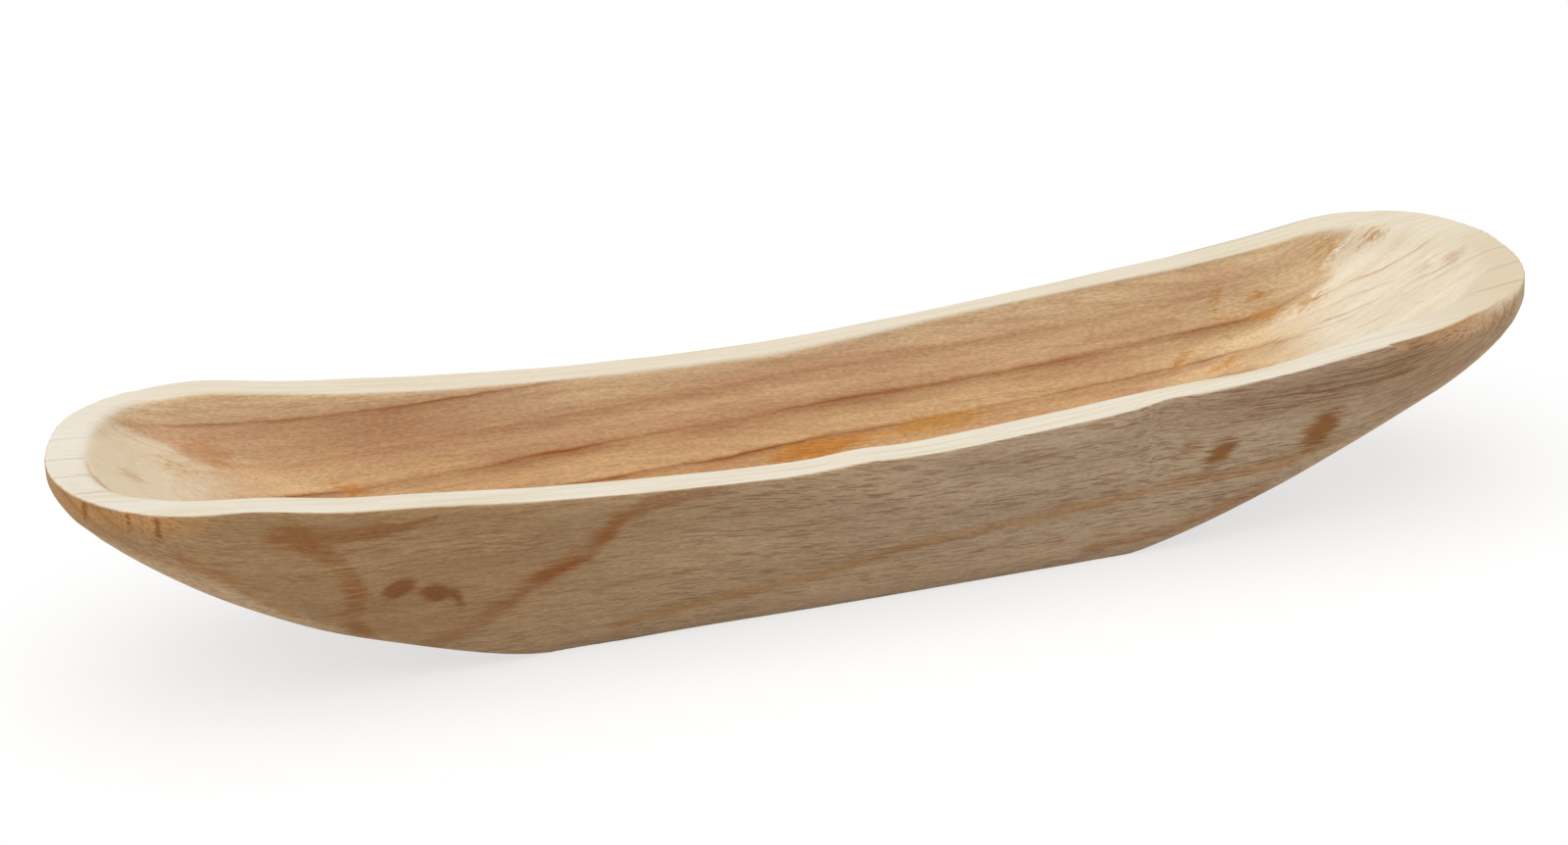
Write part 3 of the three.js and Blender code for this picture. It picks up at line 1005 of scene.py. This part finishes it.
# Painted highlight on the chisel ridge: full within 0.5 mm of it, gone by 1.8 mm.
ridge_gap = add_node(tree, "Math", {0: read["past_ridge"]}, operation="ABSOLUTE")
ridge_highlight = add_node(tree, "MapRange", {0: ridge_gap, 1: 0.5, 2: 1.8, 3: 1.0, 4: 0.0})
far_hull = add_node(tree, "Math", {0: read["hull"], 1: read["near"]}, operation="SUBTRACT")
print("nodes so far:", len(tree.nodes))

# %% [markdown]
# ## Pores, knots and stains
# Paulownia's pores are open tubes along the fibre, so on a cut face they are short thin streaks.
# Knots and stains get a rough edge from a noise along the fibre, as colour spreads along it first.

# %% Pores and marks
# Real pores are about 0.2 mm wide, too fine to show, so they are drawn two to three times as wide.
pore = grain(10, 0.65, 0.51, 0.66, detail=0.0)
pore_bands = grain(60, 8, 0.35, 0.65, 0.45, 1.0)
speckle = grain(2.4, 0.8, 0.25, 0.75)
knot = roughened(read["knot"], grain(9, 1.0, 0.2, 0.8, -0.14, 0.14), -0.05, 0.45)
soft_knot = roughened(read["soft_knot"], grain(11, 0.9, 0.2, 0.8, -0.3, 0.3), 0.0, 0.6)
orange = roughened(read["orange"], grain(12, 0.8, 0.25, 0.75, -0.3, 0.32), -0.1, 0.5)
golden = roughened(read["golden"], grain(4, 0.9, 0.2, 0.8, -0.5, 0.4), -0.1, 0.6)
faint = roughened(read["faint"], grain(9, 1.6, 0.2, 0.8, -0.4, 0.3), 0.0, 0.8)
pale = roughened(read["pale"], layer_stripes(90, 3.0, 0.08), 0.1, 0.9)
flame_top_edge = roughened(read["figure_top"], grain(16, 2.0, 0.2, 0.8, -0.5, 0.3), 0.0, 0.8)
rim_streaks = grain(60, 1.2, 0.48, 0.68, 0.0, 0.8)
not_pale = add_node(tree, "MapRange", {0: pale, 1: 0.0, 2: 0.8, 3: 1.0, 4: 0.0})
hollow_share = add_node(tree, "Math", {0: not_pale, 1: read["hull"]}, operation="SUBTRACT", use_clamp=True)
dim_streaks = grain(90, 3.0, 0.45, 0.7)
warm_patches = grain(55, 11, 0.42, 0.68)
print("nodes so far:", len(tree.nodes))

# %% [markdown]
# ## Laying the colours over each other
# The wood's colour is built like thin glazes: each layer covers what is below it by the product of
# its shares. The order matters, as the rim covers the lines of the hull, and knots cover all.

# %% Layers of colour
# Colour and shares of each layer, from the bottom up. A number among the shares is its strength.
colour_layers = [
    ("#C4976F", read["left_wall"], 0.9),
    ("#E5D0A7", read["to_right"], 0.45),
    ("#C79878", warm_patches, 0.4),
    ("#BC8F64", dim_streaks, 0.35),
    ("#E3C18F", read["left_low"], 0.6),
    (hull_colour, read["hull"]),
    # Painted light: a paler colour under the ends and low by the base, as if lit from the white floor.
    ("#DDBE96", read["under"], 0.7),
    ("#91622F", read["streaky"], 0.45),
    (zone_colours["scoop"], pale),
    ("#E0C9A5", pale, read["to_left"], 0.65),
    # Painted highlight: a near white line along the top of the chisel ridge.
    ("#F4EBD8", ridge_highlight, read["chisel"]),
    ("#B58656", scoop_lines, scoop_fade, pale),
    ("#C8945A", read["left_lip"], 0.9),
    ("#D9BC92", read["right_lip"], 0.7),
    ("#935112", hollow_lines, presence, read["lines_fade"], hollow_share),
    ("#A56E40", hull_lines, presence, far_hull),
    ("#75512F", rim_streaks, read["streaky"]),
    ("#96591D", flame_lines, flame_presence, read["figure_fade"]),
    ("#97612C", flame_top_edge, 0.85),
    ("#AE7F42", sap_line, 0.6),
    ("#AC7843", low_line, 0.6),
    (zone_colours["rim"], read["rim"]),
    ("#E4D2B0", read["rim_far"], 0.3),
    ("#DCC8A6", read["rim_right"], 0.75),
    ("#F1EADC", read["rim_left"], 0.5),
    ("#9C6634", end_lines, read["ends"]),
    ("#A67C4E", rim_lines, read["rim_ends"]),
    ("#AE7A47", read["stain"], 0.85),
    ("#B97C48", faint, 0.45),
    ("#C48E3C", golden, 0.75),
    ("#CA8735", orange, 0.9),
    ("#8A5218", crack_line, 0.6),
    ("#925A14", soft_knot, 0.95),
    ("#8A4E1A", knot, 0.92),
]
colour = bands
for over, *shares in colour_layers:
    over = linear(over) if isinstance(over, str) else over
    glaze = {0: product(*shares), 6: colour, 7: over}
    colour = add_node(tree, "Mix", glaze, output=2, data_type="RGBA")
print("layers of colour:", len(colour_layers))

# %% [markdown]
# ## Pores in the surface
# Pores darken the wood and are sunk a little, so they also go into a fine bump. Sanding closed them
# on the rim and most of them in the scoops. A wood without finish is rough and hardly shines.

# %% Pores, speckle and surface
bare = add_node(tree, "MapRange", {0: read["rim"], 3: 1.0, 4: 0.15})
less_pale = add_node(tree, "MapRange", {0: pale, 3: 0.65, 4: 0.15})
calm = add_node(tree, "MapRange", {0: pale, 3: 1.0, 4: 0.4})
pore_depth = product(pore, pore_bands, read["pores"], bare, less_pale)
colour = add_node(tree, "Mix", {0: pore_depth, 6: colour, 7: linear("#8A5B3C")}, output=2, data_type="RGBA")

speck = add_node(tree, "MapRange", {0: speckle, 3: -0.13, 4: 0.13})
speck = product(speck, bare, calm)
stripe = product(layer_stripes(130, 2.4, 0.06), calm)
shade = add_node(tree, "Math", {0: stripe, 1: bare, 2: 1.0}, operation="MULTIPLY_ADD")
shade = add_node(tree, "Math", {0: shade, 1: speck}, operation="ADD")
colour = add_node(tree, "VectorMath", {0: colour, "Scale": shade}, operation="SCALE")

relief = add_node(tree, "Math", {0: pore_depth, 1: -1.6, 2: speck}, operation="MULTIPLY_ADD")
bump = add_node(tree, "Bump", {"Height": relief, "Strength": 0.5, "Distance": 0.0003})
bare_wood = {"Base Color": colour, "Roughness": 0.7, "IOR": 1.45, "Normal": bump}
surface = add_node(tree, "BsdfPrincipled", bare_wood)
add_node(tree, "OutputMaterial", {"Surface": surface})
mesh.materials.append(wood)
print("nodes in the wood:", len(tree.nodes))

# %% [markdown]
# ## Floor, world and light
# A studio table: a white floor and white light all round, with one big soft lamp overhead from the
# front left, which keeps the rim bright and the hull in gentle shade. The camera sees the floor as
# almost glowing white, so that it joins the white background and keeps only a faint shadow.

# %% Studio
FLOOR_SIZE = 6.0
AMBIENT = 0.42
KEY_LEVEL = 0.58
KEY_AZIMUTH = math.radians(-35)
KEY_ELEVATION = math.radians(78)
KEY_SPREAD = math.radians(75)
TABLE_BOUNCE = 0.75
SEEN_GLOW = 0.68
SEEN_PAINT = 0.34


def seen_share(tree):
    """1 for rays that the eye follows, straight, by a reflection or through a surface, and 0 for light."""
    path = add_node(tree, "LightPath").node.outputs
    seen = add_node(tree, "Math", {0: path["Is Camera Ray"], 1: path["Is Glossy Ray"]}, operation="MAXIMUM")
    return add_node(tree, "Math", {0: seen, 1: path["Is Transmission Ray"]}, operation="MAXIMUM")


def make_floor():
    """A square white table top that light sees as paint, and the eye as a faint glow with a shadow."""
    data = bpy.data.meshes.new("floor")
    half = FLOOR_SIZE / 2
    corners = [(-half, -half, 0), (half, -half, 0), (half, half, 0), (-half, half, 0)]
    data.from_pydata(corners, [], [(0, 1, 2, 3)])
    floor = bpy.data.objects.new("floor", data)
    bpy.context.collection.objects.link(floor)
    paint = bpy.data.materials.new("white_table")
    paint.use_nodes = True
    tree = paint.node_tree
    tree.nodes.clear()
    table = add_node(tree, "BsdfDiffuse", {"Color": (*[TABLE_BOUNCE] * 3, 1)})
    shadow = add_node(tree, "BsdfDiffuse", {"Color": (*[SEEN_PAINT] * 3, 1)})
    glow = add_node(tree, "Emission", {"Color": (1, 1, 1, 1), "Strength": SEEN_GLOW})
    white = add_node(tree, "AddShader", {0: shadow, 1: glow})
    mix = add_node(tree, "MixShader", {0: seen_share(tree), 1: table, 2: white})
    add_node(tree, "OutputMaterial", {"Surface": mix})
    data.materials.append(paint)


def make_world():
    """White light all round at the ambient level, which the eye sees as plain white."""
    world = bpy.data.worlds.new("studio")
    world.use_nodes = True
    tree = world.node_tree
    tree.nodes.clear()
    ambient = add_node(tree, "Background", {"Color": (1, 1, 1, 1), "Strength": AMBIENT})
    white = add_node(tree, "Background", {"Color": (1, 1, 1, 1), "Strength": 1.0})
    mix = add_node(tree, "MixShader", {0: seen_share(tree), 1: ambient, 2: white})
    add_node(tree, "OutputWorld", {"Surface": mix})
    bpy.context.scene.world = world


def make_light(name, azimuth, elevation, spread_angle, level):
    """A far soft lamp that gives a plain white level on a surface that faces it."""
    data = bpy.data.lights.new(name, "SUN")
    data.angle = spread_angle
    data.energy = math.pi * level
    lamp = bpy.data.objects.new(name, data)
    lamp.matrix_world = Matrix(camera_axes(azimuth, elevation, 0)).transposed().to_4x4()
    bpy.context.collection.objects.link(lamp)


make_floor()
make_world()
make_light("soft_key", KEY_AZIMUTH, KEY_ELEVATION, KEY_SPREAD, KEY_LEVEL)
bpy.context.scene.view_settings.view_transform = "Standard"
print("light on a level surface:", round(AMBIENT + KEY_LEVEL * math.sin(KEY_ELEVATION), 2))
